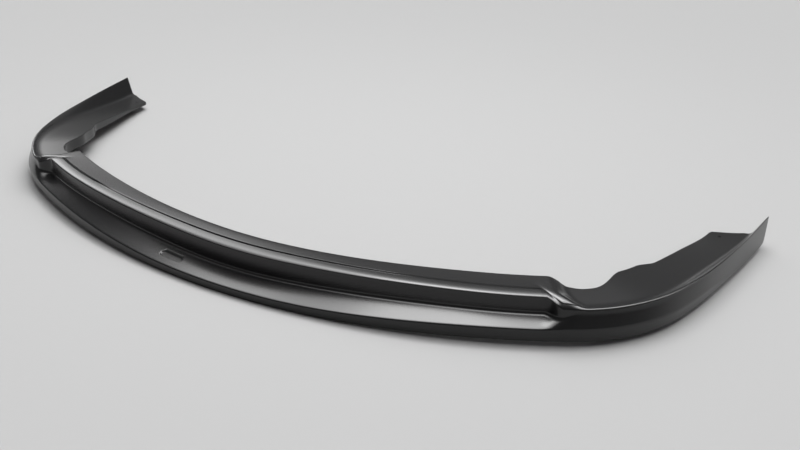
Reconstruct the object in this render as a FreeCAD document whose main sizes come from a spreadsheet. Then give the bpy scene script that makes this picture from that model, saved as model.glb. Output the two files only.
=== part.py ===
import FreeCAD, Part
import math
import os
import Sketcher

V = FreeCAD.Vector
doc = FreeCAD.newDocument("FrontSplitterLip")

# Driving sizes in millimetres. Lengths along the lip follow its outer line.
sizes = [
    ("noseRadius", 1238, "plan radius of the nose"),
    ("noseLength", 590, "length of the nose arc, one side"),
    ("cornerRadius", 327, "plan radius of the corner"),
    ("cornerLength", 224, "length of the corner arc"),
    ("cheekRadius", 898, "plan radius behind the corner"),
    ("cheekLength", 102, "length of the cheek arc"),
    ("tailRadius", 3258, "plan radius of the arm"),
    ("tailLength", 311, "length of the arm arc"),
    ("wall", 4.5, "wall thickness"),
    ("lipRise", 9.7, "rise of the bottom edge towards the corners"),
    ("lipRiseOver", 10, "what the rise of the bottom edge runs past the nose arc"),
    ("lipTailRise", 7.4, "rise of the bottom edge at the arm ends"),
    ("tailRiseLength", 327, "length over which the bottom edge changes at the arm ends"),
    ("lipHeightMiddle", 15.8, "height of the lip face at the middle"),
    ("lipHeightSide", 23.1, "height of the lip face at the sides"),
    ("lipRiseLead", 45, "from the full height of the lip face to the step"),
    ("lipHeightTail", 3, "height of the lip face at the arm ends"),
    ("evenLength", 100, "length of the even middle, one side"),
    ("lipFadeLead", 347, "from the start of the lip face's fading to the arm end"),
    ("lipFadeLength", 204, "length over which the lip face fades"),
    ("lipUndercut", 2, "lean of the lip face"),
    ("creaseHeightMiddle", 64.8, "height of the crease at the middle"),
    ("creaseHeightSide", 76.6, "height of the crease before the step"),
    ("creaseHeightArm", 65.9, "height of the crease after the step"),
    ("creaseHeightTail", 62.9, "height of the crease at the arm ends"),
    ("creaseRiseLength", 442, "length over which the crease rises"),
    ("creaseInsetMiddle", 45.7, "crease behind the outer line at the middle"),
    ("creaseInsetSide", 30.3, "crease behind the outer line before the step"),
    ("creaseInsetArm", 11, "crease behind the outer line after the step"),
    ("creaseInsetTail", 6.9, "crease behind the outer line at the arm ends"),
    ("insetFadeGap", 148, "from the step to where the arm inset changes"),
    ("insetFadeLength", 211, "length over which the arm inset changes"),
    ("stepLead", 45, "from the start of the step to the end of the nose arc"),
    ("stepLength", 62, "length of the step"),
    ("ledgeBackMiddle", 24.5, "height of the ledge at its back, middle"),
    ("ledgeBackSide", 43.2, "height of the ledge at its back, sides"),
    ("ledgeShareArm", 0.42, "place of the faded ledge corner on the arm face"),
    ("armHollow", 2.5, "hollow of the arm face after the step"),
    ("hollowLength", 150, "length over which the hollow runs out"),
    ("flangeDropMiddle", 3, "flange below the crease at the middle"),
    ("flangeDropSide", 4, "flange below the crease at the sides"),
    ("flangeSlopeRun", 24, "run of the slope behind the crease"),
    ("armSlopeRun", 11.2, "run of the arm slope after the step"),
    ("tailSlopeRun", 21, "run of the arm slope further back"),
    ("slopeChange", 250, "length over which the run of the arm slope changes"),
    ("armFlangeHeight", 62, "height of the arm flange after the step"),
    ("tailFlangeHeight", 17.5, "height of the arm flange at the ends"),
    ("armFallGap", 93, "from the step to where the arm flange starts to fall"),
    ("armFallOver", 30, "what the fall of the arm flange would run past the arm end"),
    ("flangeSpare", 14, "what the swept flange is wider than its outline"),
    ("flangeWidthMiddle", 91, "flange edge behind the outer line, middle"),
    ("flangeWidthSide", 94, "flange edge behind the outer line, sides"),
    ("armFlangeWidth", 121, "widest flange edge on the arm"),
    ("tailFlangeWidth", 101, "flange edge on the rear half of the arm"),
    ("waistGap", 35, "from the step to the waist"),
    ("waistWidth", 78, "flange edge at the waist after the step"),
    ("waistLength", 45, "length of the waist"),
    ("waistRun", 95, "length of the change from the waist to the wide part"),
    ("tabLength", 63, "length of the wide part of the arm flange"),
    ("tabStep", 58, "length of the change to the narrow part"),
    ("rearGap", 59, "from the flange's rear corner to the arm end"),
    ("notchInset", 44, "inboard end of the slope at the rear notch"),
    ("notchRun", 36, "depth of the flange's rear edge from tip to notch"),
    ("creaseRounding", 4, "setback of the crease rounding"),
    ("ledgeRounding", 5, "setback of the fillet at the back of the ledge"),
    ("lipRounding", 5, "setback of the rounding above the lip face"),
    ("valleyRounding", 9, "setback of the valley rounding"),
    ("returnDepth", 19, "depth of the turned-down edge at the wide part"),
    ("returnDepthNarrow", 13, "depth of the turned-down edge at the narrow part"),
    ("holeRadius", 3.2, "radius of a fixing hole"),
    ("holeGap", 18, "from a fixing hole to the flange's rear corner"),
    ("holeInset", 72, "fixing hole behind the outer line"),
    ("badgePlace", 405, "place of the blank recess along the lip"),
    ("badgeLength", 44, "length of the blank recess"),
    ("badgeWidth", 15, "width of the blank recess"),
    ("badgeDepth", 1.4, "depth of the blank recess"),
    ("tailCut", 22, "how far the arm's rear edge runs forward at the bottom"),
    ("tailCornerRadius", 14, "rounding of the arm's lower rear corner"),
]
sheet = doc.addObject("Spreadsheet::Sheet", "Sizes")
for row, (alias, value, note) in enumerate(sizes, 1):
    sheet.set("A%d" % row, alias)
    sheet.set("B%d" % row, str(value))
    sheet.set("C%d" % row, note)
    sheet.setAlias("B%d" % row, alias)
doc.recompute()


class Size:
    def __getattr__(self, name):
        return float(sheet.get(name))


size = Size()
lipLength = size.noseLength + size.cornerLength + size.cheekLength + size.tailLength
noseEnd = size.noseLength
stepStart = noseEnd - size.stepLead
stepEnd = stepStart + size.stepLength
armFall = stepEnd + size.armFallGap
lipFadeStart = lipLength - size.lipFadeLead
lipFadeEnd = lipFadeStart + size.lipFadeLength
insetFadeStart = stepEnd + size.insetFadeGap
insetFadeEnd = insetFadeStart + size.insetFadeLength


def ease(q, start, end):
    # smooth change from 0 at start to 1 at end
    part = min(max((q - start) / (end - start), 0.0), 1.0)
    return part * part * (3 - 2 * part)


def mix(a, b, part):
    return a + (b - a) * part


def onPlan(q):
    # point and heading of the outer line: tangent arcs, mirrored for negative q
    arcs = [
        (size.noseRadius, size.noseLength),
        (size.cornerRadius, size.cornerLength),
        (size.cheekRadius, size.cheekLength),
        (size.tailRadius, size.tailLength * 2),
    ]
    x = y = heading = 0.0
    left = abs(q)
    for radius, length in arcs:
        run = min(left, length)
        turned = heading + run / radius
        x += radius * (math.sin(turned) - math.sin(heading))
        y += radius * (math.cos(heading) - math.cos(turned))
        heading = turned
        left -= run
    if q < 0:
        return -x, y, -heading
    return x, y, heading


def inPlan(q, inset):
    # plan point at a distance behind the outer line
    x, y, heading = onPlan(q)
    return V(x - inset * math.sin(heading), y + inset * math.cos(heading), 0)


def valleyHeight(q):
    rise = ease(q, 0, size.creaseRiseLength)
    drop = mix(size.flangeDropMiddle, size.flangeDropSide, rise)
    middle = mix(size.creaseHeightMiddle, size.creaseHeightSide, rise) - drop
    arm = mix(size.armFlangeHeight, size.tailFlangeHeight, ease(q, armFall, lipLength + size.armFallOver))
    return mix(middle, arm, ease(q, stepStart, stepEnd))


def corners(q):
    # outer corners of the section from the bottom edge to the flange edge,
    # each with its distance outward, height and rounding setback
    q = abs(q)
    step = ease(q, stepStart, stepEnd)
    rise = ease(q, 0, size.creaseRiseLength)
    side = ease(q, size.evenLength, stepStart)
    tail = ease(q, lipLength - size.tailRiseLength, lipLength)
    bottom = size.lipRise * ease(q, 0, noseEnd + size.lipRiseOver) + (size.lipTailRise - size.lipRise) * tail
    lipHeight = mix(size.lipHeightMiddle, size.lipHeightSide, ease(q, size.evenLength, stepStart - size.lipRiseLead))
    lipHeight = mix(lipHeight, size.lipHeightTail, ease(q, lipFadeStart, lipFadeEnd))
    lipTop = bottom + lipHeight
    crease = mix(size.creaseHeightMiddle, size.creaseHeightSide, rise)
    crease = mix(crease, size.creaseHeightArm, step)
    crease += (size.creaseHeightTail - size.creaseHeightArm) * ease(q, armFall, lipLength)
    inset = mix(size.creaseInsetMiddle, size.creaseInsetSide, side)
    inset = mix(inset, size.creaseInsetArm, step)
    inset += (size.creaseInsetTail - size.creaseInsetArm) * ease(q, insetFadeStart, insetFadeEnd)
    hollow = size.armHollow * (1 - ease(q, armFall, armFall + size.hollowLength))
    ledgeOut = mix(-inset, -inset * size.ledgeShareArm - hollow, step)
    ledgeTop = mix(size.ledgeBackMiddle, size.ledgeBackSide, rise)
    ledgeTop = mix(ledgeTop, mix(lipTop, crease, size.ledgeShareArm) - hollow, step)
    slope = mix(size.flangeSlopeRun, mix(size.armSlopeRun, size.tailSlopeRun, ease(q, armFall, armFall + size.slopeChange)), step)
    valley = valleyHeight(q)
    reach = max(size.flangeWidthMiddle, size.flangeWidthSide, size.armFlangeWidth) + size.flangeSpare
    return [
        (-size.lipUndercut, bottom, 0),
        (0, lipTop, size.lipRounding),
        (ledgeOut, ledgeTop, size.ledgeRounding),
        (-inset, crease, size.creaseRounding),
        (-inset - slope, valley, size.valleyRounding),
        (-reach, valley, 0),
    ]


def offsetInward(points, distance):
    # parallel line on the inner side of an open line, with mitred corners
    normals = []
    for a, b in zip(points, points[1:]):
        along = math.hypot(b[0] - a[0], b[1] - a[1])
        normals.append((-(b[1] - a[1]) / along, (b[0] - a[0]) / along))
    result = []
    for i, (u, z) in enumerate(points):
        n1 = normals[max(i - 1, 0)]
        n2 = normals[min(i, len(normals) - 1)]
        scale = distance / (1 + n1[0] * n2[0] + n1[1] * n2[1])
        result.append((u + (n1[0] + n2[0]) * scale, z + (n1[1] + n2[1]) * scale))
    return result


def sectionSketch(body, plane, q):
    # one closed wall section, standing square to the outer line
    x, y, heading = onPlan(q)
    sketch = body.newObject("Sketcher::SketchObject", "Section")
    sketch.AttachmentSupport = [(plane, "")]
    sketch.MapMode = "FlatFace"
    turn = FreeCAD.Rotation(V(0, 1, 0), math.degrees(heading) - 90)
    sketch.AttachmentOffset = FreeCAD.Placement(V(x, 0, -y), turn)
    outer = corners(q)
    inner = offsetInward([c[:2] for c in outer], size.wall)
    edges = []
    last = V(outer[0][0], outer[0][1], 0)
    for i in range(1, len(outer) - 1):
        before, here, after = [V(c[0], c[1], 0) for c in outer[i - 1:i + 2]]
        setback = min(outer[i][2], (before - here).Length * 0.4, (after - here).Length * 0.4)
        start = here + (before - here).normalize() * setback
        end = here + (after - here).normalize() * setback
        edges.append(Part.LineSegment(last, start))
        middle = (start + here * 2 + end) * 0.25
        edges.append(Part.LineSegment(start, middle))
        edges.append(Part.LineSegment(middle, end))
        last = end
    back = [V(outer[-1][0], outer[-1][1], 0)] + [V(u, z, 0) for u, z in reversed(inner)]
    for point in back + [V(outer[0][0], outer[0][1], 0)]:
        edges.append(Part.LineSegment(last, point))
        last = point
    sketch.addGeometry(edges, False)
    return sketch


def addOutline(sketch, points):
    # closed outline; a third number on a point rounds that corner with an arc
    count = len(points)
    ends = []
    for i in range(count):
        here = V(points[i][0], points[i][1], 0)
        before = V(points[i - 1][0], points[i - 1][1], 0) - here
        after = V(points[(i + 1) % count][0], points[(i + 1) % count][1], 0) - here
        radius = points[i][2]
        if radius == 0:
            ends.append((here, None, here))
            continue
        half = before.getAngle(after) / 2
        setback = min(radius / math.tan(half), before.Length * 0.45, after.Length * 0.45)
        radius = setback * math.tan(half)
        start = here + before.normalize() * setback
        end = here + after.normalize() * setback
        middle = (before + after).normalize()
        centre = here + middle * (radius / math.sin(half))
        ends.append((start, centre - middle * radius, end))
    edges = []
    for i in range(count):
        start, through, end = ends[i]
        if through is not None:
            edges.append(Part.Arc(start, through, end))
        edges.append(Part.LineSegment(end, ends[(i + 1) % count][0]))
    sketch.addGeometry(edges, False)


def originPlane(body, role):
    return [f for f in body.Origin.OriginFeatures if f.Role == role][0]


body = doc.addObject("PartDesign::Body", "SplitterLip")
body.Label = "splitter_lip"
sidePlane = originPlane(body, "XZ_Plane")
groundPlane = originPlane(body, "XY_Plane")
acrossPlane = originPlane(body, "YZ_Plane")

# wall: one swept shell through sections that change along the lip
half = [stepStart * part / 109 for part in (18, 38, 58, 76, 92, 103)]
half += [stepStart + size.stepLength * part for part in (0, 0.25, 0.5, 0.75, 1)]
half += [mix(stepEnd, lipFadeStart, part) for part in (0.15, 0.35, 0.55, 0.78, 1)]
half += [mix(lipFadeStart, lipLength, part) for part in (0.2, 0.4, 0.6, 0.8, 1)]
stations = [-q for q in reversed(half)] + [0] + half
sketches = [sectionSketch(body, sidePlane, q) for q in stations]
doc.recompute()
shell = body.newObject("PartDesign::AdditiveLoft", "Shell")
shell.Profile = sketches[0]
shell.Sections = [(s, [""]) for s in sketches[1:]]
shell.Ruled = False
for s in sketches:
    s.Visibility = False
doc.recompute()

# flange outline, seen from above, as places along the lip, insets and roundings
def edgeInset(q):
    return mix(size.flangeWidthMiddle, size.flangeWidthSide, ease(q, 0, stepStart))


def midway(a, b, part, inset):
    return (mix(a, b, part), inset, 0)


waistStart = stepEnd + size.waistGap
tabStart = waistStart + size.waistLength + size.waistRun
tabEnd = tabStart + size.tabLength
narrowStart = tabEnd + size.tabStep
rear = lipLength - size.rearGap
armEdge = [
    (waistStart, size.waistWidth, 35),
    (waistStart + size.waistLength, size.waistWidth, 45),
    (tabStart, size.armFlangeWidth, 70),
    midway(tabStart, tabEnd, 0.5, size.armFlangeWidth),
    (tabEnd, size.armFlangeWidth, 14),
    (narrowStart, size.tailFlangeWidth, 25),
    midway(narrowStart, rear, 0.25, size.tailFlangeWidth),
    midway(narrowStart, rear, 0.5, size.tailFlangeWidth),
    midway(narrowStart, rear, 0.75, size.tailFlangeWidth),
    (rear, size.tailFlangeWidth - 4, 18),
]
noseEdge = [(stepStart * part, edgeInset(stepStart * part), 0) for part in (0, 0.2, 0.4, 0.6, 0.8, 0.93)]
noseEdge.append((stepStart + 10, size.flangeWidthSide, 30))
rearEdge = [(rear + 10, size.notchInset + 26, 30), (rear + size.notchRun, size.notchInset, 6)]


def planPoints(edge, shift=0):
    # plan coordinates of an outline, optionally shifted towards the outer line
    return [tuple(inPlan(q, inset - shift))[:2] + (radius,) for q, inset, radius in edge]


def mirrored(points):
    return [(-x, y, radius) for x, y, radius in reversed(points)]


# turned-down edge: an upright band under the arm flanges, cut to height from the side
band = doc.addObject("PartDesign::Body", "TurnedEdge")
band.AllowCompound = True
bandPlan = band.newObject("Sketcher::SketchObject", "BandPlan")
bandPlan.AttachmentSupport = [(originPlane(band, "XY_Plane"), "")]
bandPlan.MapMode = "FlatFace"
bandLine = [(stepEnd, size.waistWidth, 0)] + armEdge
outerLine = planPoints(bandLine, size.wall)
innerLine = planPoints(bandLine, -size.wall)
strip = outerLine + list(reversed(innerLine))
addOutline(bandPlan, strip)
addOutline(bandPlan, mirrored(strip))
bandPad = band.newObject("PartDesign::Pad", "BandPad")
bandPad.Profile = bandPlan
bandPad.setExpression("Length", "Sizes.creaseHeightSide")
doc.recompute()
bandSide = band.newObject("Sketcher::SketchObject", "BandHeight")
bandSide.AttachmentSupport = [(originPlane(band, "YZ_Plane"), "")]
bandSide.MapMode = "FlatFace"


def returnDepth(q):
    deep = mix(size.returnDepth, size.returnDepthNarrow, ease(q, tabEnd, narrowStart))
    return mix(deep, 0.5, ease(q, narrowStart, rear))


heights = [stepEnd - 5, waistStart, waistStart + size.waistLength, tabStart, tabEnd, narrowStart]
heights += [mix(narrowStart, rear + 12, part) for part in (0.33, 0.67, 1)]
insets = [size.waistWidth] * 3 + [size.armFlangeWidth] * 2 + [size.tailFlangeWidth] * 4
upper = []
lower = []
for q, inset in zip(heights, insets):
    y = inPlan(q, inset).y
    upper.append((y, valleyHeight(q) - size.wall / 2, 0))
    lower.append((y, valleyHeight(q) - size.wall - returnDepth(q), 0))
top = size.creaseHeightSide + 20
above = upper + [(upper[-1][0] + 60, upper[-1][1], 0), (upper[-1][0] + 60, top, 0), (upper[0][0] - 60, top, 0)]
above.append((upper[0][0] - 60, upper[0][1], 0))
below = lower + [(lower[-1][0] + 60, lower[-1][1], 0), (lower[-1][0] + 60, -20, 0), (lower[0][0] - 60, -20, 0)]
below.append((lower[0][0] - 60, lower[0][1], 0))
addOutline(bandSide, above)
addOutline(bandSide, below)
bandTrim = band.newObject("PartDesign::Pocket", "BandTrim")
bandTrim.Profile = bandSide
bandTrim.Type = 1
bandTrim.Midplane = True
doc.recompute()
joined = body.newObject("PartDesign::Boolean", "JoinedEdge")
joined.Type = "Fuse"
joined.setObjects([band])
doc.recompute()

# everything inboard of the outline is cut away, both sides at once
right = planPoints(noseEdge + armEdge + rearEdge)
beyond = inPlan(rear + 120, size.notchInset)
right.append((beyond.x, beyond.y, 0))
left = mirrored(right[1:])
cut = body.newObject("Sketcher::SketchObject", "FlangeOutline")
cut.AttachmentSupport = [(groundPlane, "")]
cut.MapMode = "FlatFace"
addOutline(cut, left + right)
doc.recompute()
trimCut = body.newObject("PartDesign::Pocket", "FlangeTrim")
trimCut.Profile = cut
trimCut.Type = 1
trimCut.Midplane = True
doc.recompute()

# fixing holes through both arm flanges, square to the ground
holes = body.newObject("Sketcher::SketchObject", "HolePlaces")
holes.AttachmentSupport = [(groundPlane, "")]
holes.MapMode = "FlatFace"
holeSpot = inPlan(rear - size.holeGap, size.holeInset)
for x in (holeSpot.x, -holeSpot.x):
    ring = holes.addGeometry(Part.Circle(V(x, holeSpot.y, 0), V(0, 0, 1), size.holeRadius), False)
    holes.addConstraint(Sketcher.Constraint("Radius", ring, size.holeRadius))
    holes.setExpression("Constraints[%d]" % (holes.ConstraintCount - 1), "Sizes.holeRadius")
holeCut = body.newObject("PartDesign::Pocket", "FixingHoles")
holeCut.Profile = holes
holeCut.Type = 1
holeCut.Midplane = True
doc.recompute()

# arm ends: the rear edge runs forward towards the bottom, with a rounded lower corner
endY = inPlan(lipLength, 0).y
low = corners(lipLength)[0][1]
ends = body.newObject("Sketcher::SketchObject", "ArmEnd")
ends.AttachmentSupport = [(acrossPlane, "")]
ends.MapMode = "FlatFace"
keep = [(endY + 60, -40, 0), (endY - size.tailCut - 90, -40, 0), (endY - size.tailCut - 90, low, 0)]
keep += [(endY - size.tailCut, low, size.tailCornerRadius), (endY - 1, size.creaseHeightTail, 0)]
keep += [(endY - 1, size.creaseHeightTail + 60, 0), (endY + 60, size.creaseHeightTail + 60, 0)]
addOutline(ends, keep)
endCut = body.newObject("PartDesign::Pocket", "ArmEndCut")
endCut.Profile = ends
endCut.Type = 1
endCut.Midplane = True
doc.recompute()

# blank obround recess on the ledge, the place of a badge
place = -size.badgePlace
around = corners(place)
ledgeFront, ledgeBack = around[1], around[2]
tilt = math.degrees(math.atan2(ledgeBack[1] - ledgeFront[1], ledgeFront[0] - ledgeBack[0]))
centre = inPlan(place, -(ledgeFront[0] + ledgeBack[0]) / 2)
centre.z = (ledgeFront[1] + ledgeBack[1]) / 2
heading = math.degrees(onPlan(place)[2])
facing = FreeCAD.Rotation(V(0, 0, 1), heading).multiply(FreeCAD.Rotation(V(1, 0, 0), tilt))
badge = body.newObject("Sketcher::SketchObject", "BadgeRecess")
badge.AttachmentSupport = [(groundPlane, "")]
badge.MapMode = "FlatFace"
badge.AttachmentOffset = FreeCAD.Placement(centre + facing.multVec(V(0, 0, size.wall)), facing)
r = size.badgeWidth / 2
run = size.badgeLength / 2 - r
badge.addGeometry([
    Part.LineSegment(V(-run, -r, 0), V(run, -r, 0)),
    Part.Arc(V(run, -r, 0), V(run + r, 0, 0), V(run, r, 0)),
    Part.LineSegment(V(run, r, 0), V(-run, r, 0)),
    Part.Arc(V(-run, r, 0), V(-run - r, 0, 0), V(-run, -r, 0)),
], False)
badgeCut = body.newObject("PartDesign::Pocket", "BadgePlace")
badgeCut.Profile = badge
badgeCut.setExpression("Length", "Sizes.wall + Sizes.badgeDepth")
doc.recompute()

# the lip stands on its bottom edge, centred over its depth
extent = body.Shape.optimalBoundingBox()
body.Placement = FreeCAD.Placement(V(0, -(extent.YMin + extent.YMax) / 2, -extent.ZMin), FreeCAD.Rotation())
doc.recompute()

for thing in doc.Objects:
    for word in ("Invalid", "Error"):
        if word in thing.State:
            raise RuntimeError(thing.Name + " is " + word)
shape = body.Shape
if shape.isNull() or not shape.isValid() or len(shape.Solids) != 1:
    raise RuntimeError("the lip is not one sound solid")
volume = shape.Volume
span = shape.optimalBoundingBox()
print("solid", round(volume), "mm3,", [round(v, 2) for v in (span.XLength, span.YLength, span.ZLength)])
print("faces", len(shape.Faces), "facets", len(shape.tessellate(0.37)[1]))
print("hole at", round(holeSpot.x, 3), round(holeSpot.y + body.Placement.Base.y, 3))
os.makedirs("parts", exist_ok=True)
shape.exportStep("parts/splitter_lip.step")
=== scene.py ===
import math
import bpy
import numpy as np
from mathutils import Matrix, Vector


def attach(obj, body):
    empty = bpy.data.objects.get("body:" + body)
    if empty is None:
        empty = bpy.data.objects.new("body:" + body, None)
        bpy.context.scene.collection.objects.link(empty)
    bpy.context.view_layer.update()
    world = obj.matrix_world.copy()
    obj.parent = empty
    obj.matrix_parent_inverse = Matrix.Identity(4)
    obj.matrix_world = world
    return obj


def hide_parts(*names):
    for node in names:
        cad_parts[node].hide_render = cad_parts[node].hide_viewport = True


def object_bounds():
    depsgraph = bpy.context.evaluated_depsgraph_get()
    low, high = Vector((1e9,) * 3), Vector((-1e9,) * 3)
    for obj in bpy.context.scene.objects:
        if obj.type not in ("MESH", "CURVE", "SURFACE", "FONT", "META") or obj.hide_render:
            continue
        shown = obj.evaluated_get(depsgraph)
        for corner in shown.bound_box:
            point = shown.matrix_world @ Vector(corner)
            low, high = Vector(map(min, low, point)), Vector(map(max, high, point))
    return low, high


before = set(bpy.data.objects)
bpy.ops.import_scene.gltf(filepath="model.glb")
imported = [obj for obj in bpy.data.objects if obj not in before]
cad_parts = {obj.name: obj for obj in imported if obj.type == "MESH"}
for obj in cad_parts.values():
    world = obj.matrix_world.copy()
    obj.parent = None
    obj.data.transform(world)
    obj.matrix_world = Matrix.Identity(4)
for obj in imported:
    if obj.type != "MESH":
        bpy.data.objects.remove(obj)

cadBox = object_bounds()
print("frame loaded", cadBox)

# Plan line of the lip, one side, in millimetres: radius and length of the nose, corner, cheek and arm.
# A place is a length along this line from the middle, an inset is a distance inboard of it.
arcs = ((1238, 590), (327, 224), (898, 102), (3258, 311))
armEnd = sum(length for radius, length in arcs)

# A profile is the value at the middle, then its changes: from this place to that one, over to this value.
lip = dict(
    wall=4.5,
    bottom=(0, (0, 600, 9.7), (900, armEnd, 7.4)),  # height of the lowest edge
    face=(15.8, (100, 500, 23.1), (880, 1084, 3)),  # height of the lip's front face
    faceLean=2,
    creaseHeight=(64.8, (0, 442, 76.5), (538, 566, 65.9), (700, armEnd, 62.9)),
    creaseInset=(45.7, (100, 538, 30.3), (538, 566, 11), (755, 966, 6.9)),
    ledgeBack=(24.5, (0, 442, 43.2)),  # height of the ledge at its back
    ledgeShare=0.78,  # where the ledge's back goes over to on the arm face, bottom to crease
    ledgeRise=(0, (546, 596, 1)), ledgeOut=(0, (558, 608, 1)),  # how far it has gone over
    armHollow=(1.2, (700, 850, 0)),
    slopeRun=(40, (538, 566, 11.2), (700, 950, 21)),  # from the crease to the flange
    flangeHeight=(68.3, (0, 442, 75.8), (568, 610, 62), (700, armEnd + 30, 17.5)),
    flangeEdge=(95, (0, 562, 94), (567, 645, 76), (658, 777, 110), (838, 892, 99), (892, 1170, 95)),
    turnDown=(0.4, (596, 608, 19), (838, 892, 13), (892, 1170, 0.4)),  # edge under the arm flange
    stepLean=(0, (440, 520, 18), (640, 720, 0)),  # slant of the step, from the outer line to the crease
    leanFade=(5, 45),  # run behind the crease over which the slant goes away
    rounding=dict(
        edge=1.2, lip=3, ledge=5,
        creaseFront=(3, (550, 610, 4)), creaseBack=(26, (550, 610, 13)), flange=(34, (550, 610, 9)),
        inside=(0, 0.6, 1, 1, 1, 3, 0.6, 0.6, 0),
    ),
    rear=dict(
        flange=((0, 1224), (8, 1223), (28, 1210), (40, 1206), (52, 1194),  # inset and place of its rear edge
                (70, 1180), (83, 1171), (91, 1166), (95, 1156)),
        face=1224, cut=22, corner=14, cornerShare=0.3, cornerFullness=0.96,
        faceMargin=1.5, blend=220, blendPower=1.5,
    ),
    hole=dict(place=1150, inset=72, radius=3.2, sides=32),
    badge=dict(place=-122, length=51, width=12.5, depth=2.2, rim=1.1, skin=1),
    spacing=((0, 547, 9), (547, 660, 3), (660, 920, 6), (920, 1147, 8)),  # mesh rows: from, to, apart
    endRows=(1147, 32), badgeRows=(4, 1),
)


def ease(q, start, end):
    part = np.clip((q - start) / (end - start), 0, 1)
    return part * part * (3 - 2 * part)


def mix(a, b, part):
    return a + (b - a) * part


def along(q, profile):
    # value of a profile at the places q
    value, *changes = profile
    for start, end, goal in changes:
        value = mix(value, goal, ease(q, start, end))
    return value


def onPlan(q):
    # plan point and heading of the plan line at the places q, negative on the left side
    side = np.sign(q) + (q == 0)
    left = np.abs(q)
    x = y = heading = np.zeros_like(left)
    for radius, length in arcs:
        run = left if (radius, length) == arcs[-1] else np.minimum(left, length)
        turned = heading + run / radius
        x = x + radius * (np.sin(turned) - np.sin(heading))
        y = y + radius * (np.cos(heading) - np.cos(turned))
        heading = turned
        left = left - run
    return side * x, y, side * heading


def meshRows():
    # places of the mesh rows from the left arm's end to the right one's, close together at the badge
    right = [np.arange(start, end, float(apart)) for start, end, apart in lip["spacing"]]
    start, count = lip["endRows"]
    right = np.concatenate(right + [np.linspace(start, armEnd, count)])
    left = -right[:0:-1]
    badge = lip["badge"]
    spare, apart = lip["badgeRows"]
    first = badge["place"] - badge["length"] / 2 - spare
    last = badge["place"] + badge["length"] / 2 + spare
    return np.concatenate([left[left < first], np.arange(first, last, apart), left[left > last], right])


def sectionCorners(q):
    # outer corners of the section, each as distance outward and height
    bottom = along(q, lip["bottom"])
    faceTop = bottom + along(q, lip["face"])
    crease = along(q, lip["creaseHeight"])
    inset = along(q, lip["creaseInset"])
    hollow = along(q, lip["armHollow"])
    share = lip["ledgeShare"]
    ledgeOut = mix(-inset, -inset * share - hollow, along(q, lip["ledgeOut"]))
    onArm = mix(faceTop, crease, share) - hollow
    ledgeTop = mix(along(q, lip["ledgeBack"]), onArm, along(q, lip["ledgeRise"]))
    flange = along(q, lip["flangeHeight"])
    corners = [
        (np.full_like(q, -lip["faceLean"]), bottom),
        (np.zeros_like(q), faceTop),
        (ledgeOut, ledgeTop),
        (-inset, crease),
        (-inset - along(q, lip["slopeRun"]), flange),
        (-along(q, lip["flangeEdge"]), flange),
    ]
    return np.stack([np.stack(corner, -1) for corner in corners], 1)


def offsetInward(points, distance):
    # parallel line inside an open line, with mitred corners
    run = np.diff(points, axis=1)
    run /= np.linalg.norm(run, axis=2, keepdims=True)
    normal = np.stack([-run[..., 1], run[..., 0]], -1)
    first = np.concatenate([normal[:, :1], normal], 1)
    second = np.concatenate([normal, normal[:, -1:]], 1)
    return points + (first + second) * distance / (1 + (first * second).sum(2, keepdims=True))


# Samples between the corners of the section, and cells round each corner: heel, bottom edge,
# top of the face, back of the ledge, crease, start of the flange, flange edge, foot, toe.
few = (0, 0.5)
even = (0, 0.04, 0.25, 0.5, 0.75, 0.96)
fine = (0, 0.04, 0.16, 0.27, *np.linspace(0.34, 0.66, 13), 0.73, 0.84, 0.96)
spans = (few, even, fine, even, even, even, even, few)
bends = (0, 3, 6, 6, 14, 10, 3, 3, 0)
backLimit, aheadLimit = 0.45, 0.55


def rounded(points, setbacks):
    # samples along a line whose corners are rounded by quadratic curves
    samples = []
    last = points[:, 0]
    corners = points.shape[1] - 1
    for i in range(1, corners):
        here = points[:, i]
        back = points[:, i - 1] - here
        ahead = points[:, i + 1] - here
        backLength = np.linalg.norm(back, axis=1, keepdims=True)
        aheadLength = np.linalg.norm(ahead, axis=1, keepdims=True)
        before, after = setbacks[i] if isinstance(setbacks[i], tuple) else (setbacks[i], setbacks[i])
        start = here + back / backLength * np.minimum(before, backLength * backLimit)
        end = here + ahead / aheadLength * np.minimum(after, aheadLength * aheadLimit)
        samples += [mix(last, start, t) for t in spans[i - 1]]
        for t in np.linspace(0, 1, bends[i] + 1)[:-1]:
            samples.append(start * (1 - t) ** 2 + here * 2 * t * (1 - t) + end * t * t)
        last = end
    samples += [mix(last, points[:, corners], t) for t in (*spans[corners - 1], 1)]
    return np.stack(samples, 1)


def sectionLoop(q):
    # closed line round the wall at each place: the outer skin, then the inner skin back again
    wall = lip["wall"]
    outer = sectionCorners(q)
    inner = offsetInward(outer, wall)
    edge = outer[:, -1]
    depth = wall + along(q, lip["turnDown"])
    heel = (outer[:, 0] + inner[:, 0]) / 2
    foot = edge - np.stack([np.zeros_like(depth), depth], -1)
    toe = foot + (wall / 2, 0)
    outerLine = np.stack([heel, *outer.swapaxes(0, 1), foot, toe], 1)
    hem = edge + (wall, -wall)
    innerLine = np.stack([heel, *inner[:, :-1].swapaxes(0, 1), hem, foot + (wall, 0), toe], 1)
    rounding = lip["rounding"]
    crease = tuple(along(q, rounding[part])[:, None] for part in ("creaseFront", "creaseBack"))
    flange = along(q, rounding["flange"])[:, None]
    rim = rounding["edge"]
    outside = rounded(outerLine, (0, rim, rounding["lip"], rounding["ledge"], crease, flange, rim, rim, 0))
    inside = rounded(innerLine, rounding["inside"])
    return outer, np.concatenate([outside, inside[:, -2:0:-1]], 1), outside.shape[1]


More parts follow.
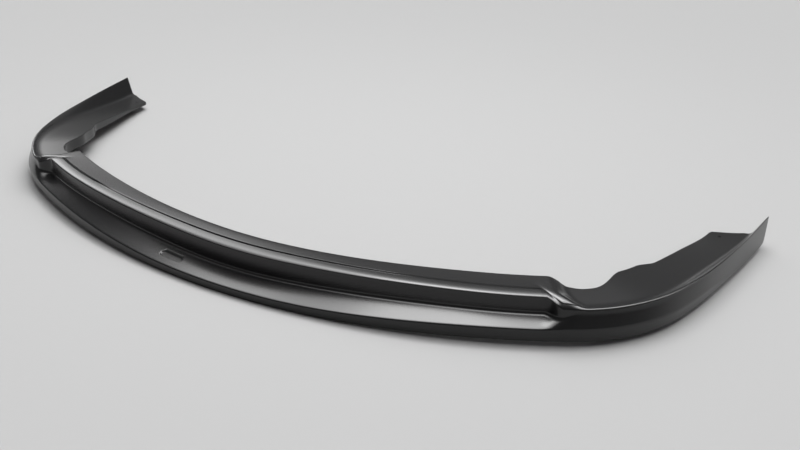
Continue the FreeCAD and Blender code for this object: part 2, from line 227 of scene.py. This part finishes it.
def pressBadge(loop, outer, q):
    # blank obround recess pressed into the ledge
    badge = lip["badge"]
    front, back = outer[:, 1:2], outer[:, 2:3]
    length = np.linalg.norm(back - front, axis=2, keepdims=True)
    unit = (back - front) / length
    normal = np.stack([unit[..., 1], -unit[..., 0]], -1)
    across = ((loop - front) * unit).sum(2) - length[..., 0] / 2
    above = ((loop - front) * normal).sum(2)
    radius = badge["width"] / 2
    sideways = np.abs(q[:, None] - badge["place"]) - badge["length"] / 2 + radius
    reach = np.hypot(np.maximum(sideways, 0), across) - radius
    sink = badge["depth"] * (1 - ease(reach, -badge["rim"], 0)) * (np.abs(above) < badge["skin"])
    return loop - normal * sink[..., None]


def rearPlace(loop, outer):
    # where the arm ends for each point of its last section
    rear = lip["rear"]
    inset, height = -loop[:, 0], loop[:, 1]
    bottom, crease = outer[0, 1], outer[3, 1]
    flange = np.interp(inset, *zip(*rear["flange"]))
    # the outer face runs forward towards the bottom, with a round corner
    down = np.clip((crease - height) / (crease - bottom), 0, 1)
    corner = np.clip((down - 1) / rear["cornerShare"] + 1, 0, 1)
    drawn = rear["corner"] * (1 - np.sqrt(1 - corner ** 2 * rear["cornerFullness"]))
    face = rear["face"] - rear["cut"] * down - drawn
    return np.where(inset < rear["faceMargin"] - outer[3, 0], face, flange)


def placeLoop(loop, outer, q):
    # set the section lines up along the plan line; every point keeps its row's place,
    # except at the slanting step and near the arm ends
    rear = lip["rear"]
    a = np.abs(q)[:, None]
    out = loop[..., 0]
    creaseInset = -outer[:, 3:4, 0]
    near = np.clip((a - armEnd) / rear["blend"] + 1, 0, 1) ** rear["blendPower"]
    shift = (armEnd - rearPlace(loop[-1], outer[-1])) * near
    fadeStart, fadeEnd = lip["leanFade"]
    lean = along(a, lip["stepLean"]) * np.clip(-out / creaseInset, 0, 1)
    lean = lean * (1 - ease(-out - creaseInset, fadeStart, fadeEnd))
    x, y, heading = onPlan(np.sign(q)[:, None] * (a - shift + lean))
    return np.stack([x + out * np.sin(heading), y - out * np.cos(heading), loop[..., 1]], -1)


q = meshRows()
outer, loop, outsideCount = sectionLoop(np.abs(q))
points = placeLoop(pressBadge(loop, outer, q), outer, q)
rows, cols = points.shape[:2]
index = np.arange(rows * cols).reshape(rows, cols)
nextCol = np.roll(index, -1, axis=1)
quads = np.stack([index[:-1], nextCol[:-1], nextCol[1:], index[1:]], -1)
keep = np.ones((rows - 1, cols), bool)


def openSkin(skin, side, start):
    # take a block of cells out of one skin and fill it up to a round rim, whose points
    # are numbered from start; gives the rim's points and the filling
    hole = lip["hole"]
    x, y, heading = (float(v) for v in onPlan(np.array(float(side * hole["place"]))))
    tangent = np.array([math.cos(heading), math.sin(heading)])
    inward = np.array([-math.sin(heading), math.cos(heading)])
    middle = np.array([x, y]) + inward * hole["inset"]
    offset = points[..., :2] - middle
    forward, inset = offset @ tangent, offset @ inward
    near = int(np.abs(forward[:, skin[len(skin) // 2]]).argmin())
    margin = hole["radius"] + 1
    before = max((c for c in skin if inset[near, c] < -margin), key=lambda c: inset[near, c])
    beyond = min((c for c in skin if inset[near, c] > margin), key=lambda c: inset[near, c])
    c0, c1 = min(before, beyond), max(before, beyond)
    r0 = int(np.nonzero(forward[:, [c0, c1]].max(1) < -margin)[0][-1])
    r1 = int(np.nonzero(forward[:, [c0, c1]].min(1) > margin)[0][0])
    keep[r0:r1, c0:c1] = False
    border = [(r0, c) for c in range(c0, c1)] + [(r, c1) for r in range(r0, r1)]
    border += [(r1, c) for c in range(c1, c0, -1)] + [(r, c0) for r in range(r1, r0, -1)]
    edge = np.array([points[spot] for spot in border])
    border = [int(index[spot]) for spot in border]
    plane = np.linalg.lstsq(np.c_[edge[:, :2], np.ones(len(edge))], edge[:, 2], rcond=None)[0]
    sides = hole["sides"]
    turn = np.arange(sides) * 2 * math.pi / sides
    rim = middle + hole["radius"] * np.stack([np.cos(turn), np.sin(turn)], -1)
    rim = np.c_[rim, np.c_[rim, np.ones(sides)] @ plane]
    # each cell edge of the border is joined to the rim points that it faces
    angles = np.unwrap(np.arctan2(edge[:, 1] - middle[1], edge[:, 0] - middle[0]))
    steps = np.round(angles / (2 * math.pi / sides)).astype(int).tolist()
    sense = 1 if steps[-1] > steps[0] else -1
    steps.append(steps[0] + sense * sides)
    filling = []
    for i, vertex in enumerate(border):
        arc = [start + k % sides for k in range(steps[i + 1], steps[i] - sense, -sense)]
        filling.append([vertex, border[(i + 1) % len(border)]] + arc)
    return rim, filling


# fixing holes straight down through both arm flanges; the bores have points of their own
verts = [points.reshape(-1, 3)]
holeFaces = []
sides = lip["hole"]["sides"]
count = rows * cols
for side in (-1, 1):
    topRim, topFilling = openSkin(range(outsideCount), side, count)
    lowRim, lowFilling = openSkin(range(outsideCount, cols), side, count + sides)
    verts += [topRim, lowRim, topRim, lowRim]
    top, low = count + 2 * sides, count + 3 * sides
    holeFaces += topFilling + lowFilling
    for k in range(sides):
        following = (k + 1) % sides
        holeFaces.append([top + k, top + following, low + following, low + k])
    count = low + sides
faces = quads[keep].tolist() + holeFaces
# end walls between the outer and the inner skin
for row, order in ((0, -1), (rows - 1, 1)):
    line = index[row].tolist()
    for i in range(outsideCount - 1):
        wallFace = list(dict.fromkeys([line[i], line[i + 1], line[-i - 1], line[-i]]))
        if len(wallFace) > 2:
            faces.append(wallFace[::order])

# the lip stands in the middle of the frame, on its lowest edge
verts = np.concatenate(verts) / 1000
lowest, highest = verts.min(0), verts.max(0)
middleY = (cadBox[0][1] + cadBox[1][1]) / 2
moved = Vector((0, middleY - (lowest[1] + highest[1]) / 2, cadBox[0][2] - lowest[2]))
mesh = bpy.data.meshes.new("splitterLipSkin")
mesh.from_pydata((verts + moved).tolist(), [], faces)
mesh.validate()
mesh.update()
mesh.polygons.foreach_set("use_smooth", [True] * len(mesh.polygons))
skinPiece = bpy.data.objects.new("splitterLipSkin", mesh)
bpy.context.scene.collection.objects.link(skinPiece)
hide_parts("splitter_lip")
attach(skinPiece, "root")

# satin black moulded plastic with a fine grain
plastic = dict(
    colour=(0.003, 0.003, 0.0032), roughness=0.25, index=1.5,
    grain=0.015, grainSize=900, grainDepth=0.0002,
)


def satinPlastic():
    material = bpy.data.materials.new("satinPlastic")
    material.use_nodes = True
    nodes = material.node_tree.nodes
    links = material.node_tree.links
    shader = nodes["Principled BSDF"]
    shader.inputs["Base Color"].default_value = (*plastic["colour"], 1)
    shader.inputs["Roughness"].default_value = plastic["roughness"]
    shader.inputs["IOR"].default_value = plastic["index"]
    where = nodes.new("ShaderNodeTexCoord")
    noise = nodes.new("ShaderNodeTexNoise")
    noise.inputs["Scale"].default_value = plastic["grainSize"]
    bump = nodes.new("ShaderNodeBump")
    bump.inputs["Strength"].default_value = plastic["grain"]
    bump.inputs["Distance"].default_value = plastic["grainDepth"]
    links.new(where.outputs["Object"], noise.inputs["Vector"])
    links.new(noise.outputs["Fac"], bump.inputs["Height"])
    links.new(bump.outputs["Normal"], shader.inputs["Normal"])
    return material


mesh.materials.append(satinPlastic())
print("lip built", rows, "rows of", cols, "points,", len(faces), "faces")

# pale studio: a dim light all round, a soft round patch overhead and a long strip behind the lip
studio = dict(
    floorGrey=0.2, floorRoughness=0.9, floorReach=15, floorGap=0.0005,
    dim=0.17,
    patch=dict(aim=(0.05, 0.27, 1), inner=16, outer=41, strength=7.2),
    strip=dict(low=0.34, full=(0.45, 0.53), high=0.63, above=(0.2, 0.4), strength=6.2),
    lampAt=(0.0, 0.3, 1.7), lampSize=0.8, lamp=15,
)


def paleFloor():
    grey, reach = studio["floorGrey"], studio["floorReach"]
    floorMesh = bpy.data.meshes.new("floor")
    corners = [(-reach, -reach, 0), (reach, -reach, 0), (reach, reach, 0), (-reach, reach, 0)]
    floorMesh.from_pydata(corners, [], [(0, 1, 2, 3)])
    paint = bpy.data.materials.new("floorPaint")
    paint.use_nodes = True
    shader = paint.node_tree.nodes["Principled BSDF"]
    shader.inputs["Base Color"].default_value = (grey, grey, grey, 1)
    shader.inputs["Roughness"].default_value = studio["floorRoughness"]
    floorMesh.materials.append(paint)
    floor = bpy.data.objects.new("floor", floorMesh)
    floor.location.z = cadBox[0][2] - studio["floorGap"]
    bpy.context.scene.collection.objects.link(floor)
    return floor


paleFloor()

world = bpy.data.worlds.new("studio")
bpy.context.scene.world = world
world.use_nodes = True
worldNodes = world.node_tree.nodes
worldLinks = world.node_tree.links


def rampTo(value, start, end, top):
    # from 0 at start to top at end
    ramp = worldNodes.new("ShaderNodeMapRange")
    ramp.interpolation_type = "SMOOTHSTEP"
    ramp.inputs["From Min"].default_value = start
    ramp.inputs["From Max"].default_value = end
    ramp.inputs["To Max"].default_value = top
    worldLinks.new(value, ramp.inputs["Value"])
    return ramp.outputs["Result"]


def combine(operation, first, second):
    both = worldNodes.new("ShaderNodeMath")
    both.operation = operation
    worldLinks.new(first, both.inputs[0])
    if isinstance(second, float):
        both.inputs[1].default_value = second
    else:
        worldLinks.new(second, both.inputs[1])
    return both.outputs["Value"]


direction = worldNodes.new("ShaderNodeTexCoord").outputs["Generated"]
patch = studio["patch"]
facing = worldNodes.new("ShaderNodeVectorMath")
facing.operation = "DOT_PRODUCT"
facing.inputs[1].default_value = Vector(patch["aim"]).normalized()
worldLinks.new(direction, facing.inputs[0])
patchEdge, patchCore = (math.cos(math.radians(patch[ring])) for ring in ("outer", "inner"))
overhead = rampTo(facing.outputs["Value"], patchEdge, patchCore, patch["strength"])
strip = studio["strip"]
axes = worldNodes.new("ShaderNodeSeparateXYZ")
worldLinks.new(direction, axes.inputs[0])
rising = rampTo(axes.outputs["Y"], strip["low"], strip["full"][0], strip["strength"])
falling = rampTo(axes.outputs["Y"], strip["high"], strip["full"][1], 1)
above = rampTo(axes.outputs["Z"], *strip["above"], 1)
behind = combine("MULTIPLY", combine("MULTIPLY", rising, falling), above)
light = combine("ADD", combine("ADD", overhead, studio["dim"]), behind)
worldNodes["Background"].inputs["Color"].default_value = (1, 1, 1, 1)
worldLinks.new(light, worldNodes["Background"].inputs["Strength"])

lampData = bpy.data.lights.new("overheadLamp", "AREA")
lampData.size = studio["lampSize"]
lampData.energy = studio["lamp"]
lamp = bpy.data.objects.new("overheadLamp", lampData)
lamp.location = studio["lampAt"]
bpy.context.scene.collection.objects.link(lamp)
print("studio built")

# camera where the photo was taken from, in millimetres, degrees and pixels
camera = dict(at=(759.0, -933.5, 740.5), azimuth=24.45, pitch=27.035, roll=2.991, focal=808.4, imageWidth=800)


def photoCamera():
    data = bpy.data.cameras.new("photoCamera")
    data.lens = camera["focal"] * data.sensor_width / camera["imageWidth"]
    turn, tilt, roll = (math.radians(camera[angle]) for angle in ("azimuth", "pitch", "roll"))
    forward = Vector((-math.sin(turn) * math.cos(tilt), math.cos(turn) * math.cos(tilt), -math.sin(tilt)))
    level = Vector((math.cos(turn), math.sin(turn), 0))
    up = level.cross(forward)
    right = level * math.cos(roll) + up * math.sin(roll)
    up = up * math.cos(roll) - level * math.sin(roll)
    facing = Matrix((right, up, -forward)).transposed().to_4x4()
    eye = bpy.data.objects.new("photoCamera", data)
    eye.matrix_world = Matrix.Translation(Vector(camera["at"]) / 1000 + moved) @ facing
    bpy.context.scene.collection.objects.link(eye)
    return eye


bpy.context.scene.camera = photoCamera()
bpy.context.scene.view_settings.view_transform = "Standard"
print("camera set")
